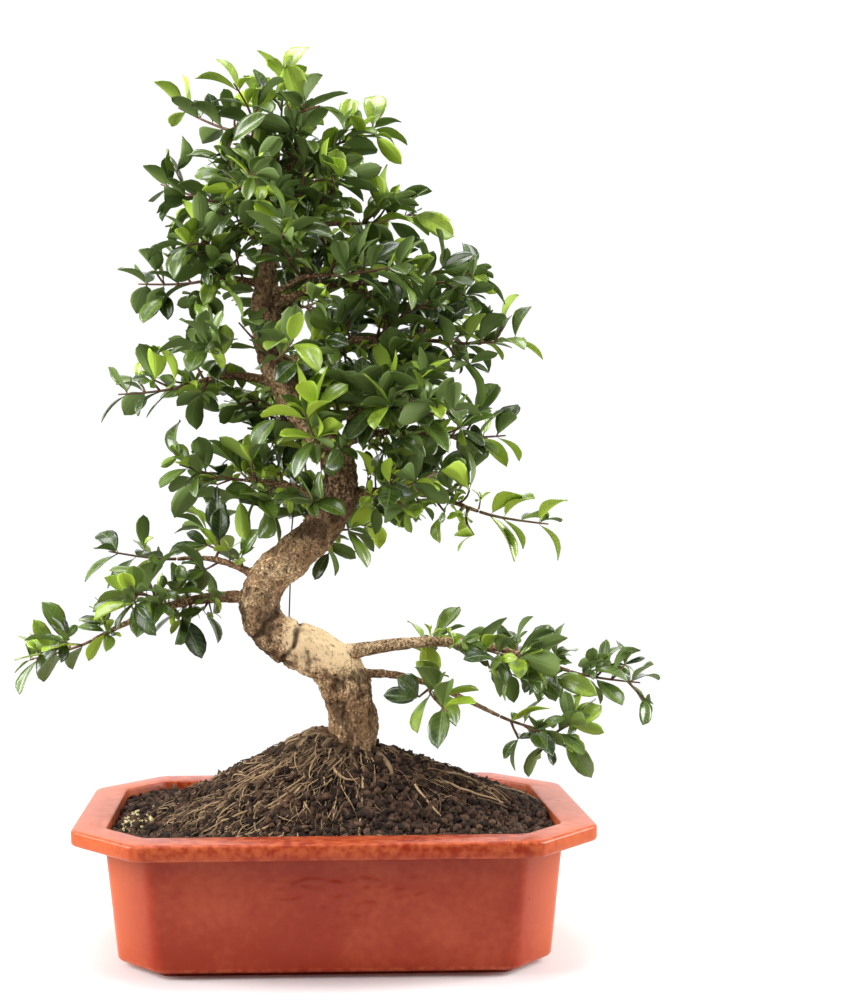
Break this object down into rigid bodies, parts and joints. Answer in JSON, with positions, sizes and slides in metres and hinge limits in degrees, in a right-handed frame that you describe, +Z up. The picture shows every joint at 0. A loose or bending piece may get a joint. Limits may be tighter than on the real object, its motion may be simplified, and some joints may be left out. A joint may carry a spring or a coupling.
{
  "type": "bonsai tree in a tray pot",
  "caption": "Small broadleaf bonsai with a winding trunk and leafy limbs, rooted in mounded soil in a long eight-sided tray pot.",
  "frame": {"origin": "under the middle of the pot, on the surface that it stands on", "axes": "+X along the pot's length, +Y away from the pot's front, +Z up"},
  "size_m": [0.3467, 0.17, 0.4706],
  "materials": {
    "terracotta_plastic": "satin",
    "peat": "rough",
    "bark": "rough",
    "dark_wire": "matte",
    "leaf_green": "satin"
  },
  "bodies": {
    "root": {"pot": "terracotta_plastic", "shoot_crown_back_1": "leaf_green", "shoot_crown_back_2": "leaf_green", "shoot_crown_front_1": "leaf_green", "shoot_crown_front_2": "leaf_green", "shoot_crown_left_1": "leaf_green", "shoot_crown_left_2": "leaf_green", "shoot_crown_right_1": "leaf_green", "shoot_crown_right_2": "leaf_green", "shoot_front_left_1": "leaf_green", "shoot_front_left_2": "leaf_green", "shoot_leader": "leaf_green", "shoot_left_spread_1": "leaf_green", "shoot_left_spread_2": "leaf_green", "shoot_low_back_1": "leaf_green", "shoot_low_back_2": "leaf_green", "shoot_low_left_1": "leaf_green", "shoot_low_left_2": "leaf_green", "shoot_low_left_upper_1": "leaf_green", "shoot_low_left_upper_2": "leaf_green", "shoot_low_right_1": "leaf_green", "shoot_low_right_2": "leaf_green", "shoot_low_right_3": "leaf_green", "shoot_low_right_4": "leaf_green", "shoot_low_right_under_1": "leaf_green", "shoot_low_right_under_2": "leaf_green", "shoot_mid_back_left_1": "leaf_green", "shoot_mid_back_left_2": "leaf_green", "shoot_mid_back_right_1": "leaf_green", "shoot_mid_back_right_2": "leaf_green", "shoot_mid_front_1": "leaf_green", "shoot_mid_front_right_1": "leaf_green", "shoot_mid_front_right_2": "leaf_green", "shoot_mid_left_1": "leaf_green", "shoot_mid_left_2": "leaf_green", "shoot_mid_right_1": "leaf_green", "shoot_mid_right_2": "leaf_green", "shoot_mid_right_upper_1": "leaf_green", "shoot_mid_right_upper_2": "leaf_green", "shoot_right_spread_1": "leaf_green", "shoot_right_spread_2": "leaf_green", "shoot_right_spread_3": "leaf_green", "shoot_right_spread_4": "leaf_green", "shoot_top_left_1": "leaf_green", "shoot_top_left_2": "leaf_green", "shoot_top_right_1": "leaf_green", "shoot_top_right_2": "leaf_green", "shoot_upper_back_1": "leaf_green", "shoot_upper_back_2": "leaf_green", "shoot_upper_front_1": "leaf_green", "shoot_upper_front_2": "leaf_green", "shoot_upper_left_1": "leaf_green", "shoot_upper_left_2": "leaf_green", "shoot_upper_right_1": "leaf_green", "shoot_upper_right_2": "leaf_green", "soil": "peat", "training_wire": "dark_wire", "trunk": "bark"}
  },
  "joints": []
}
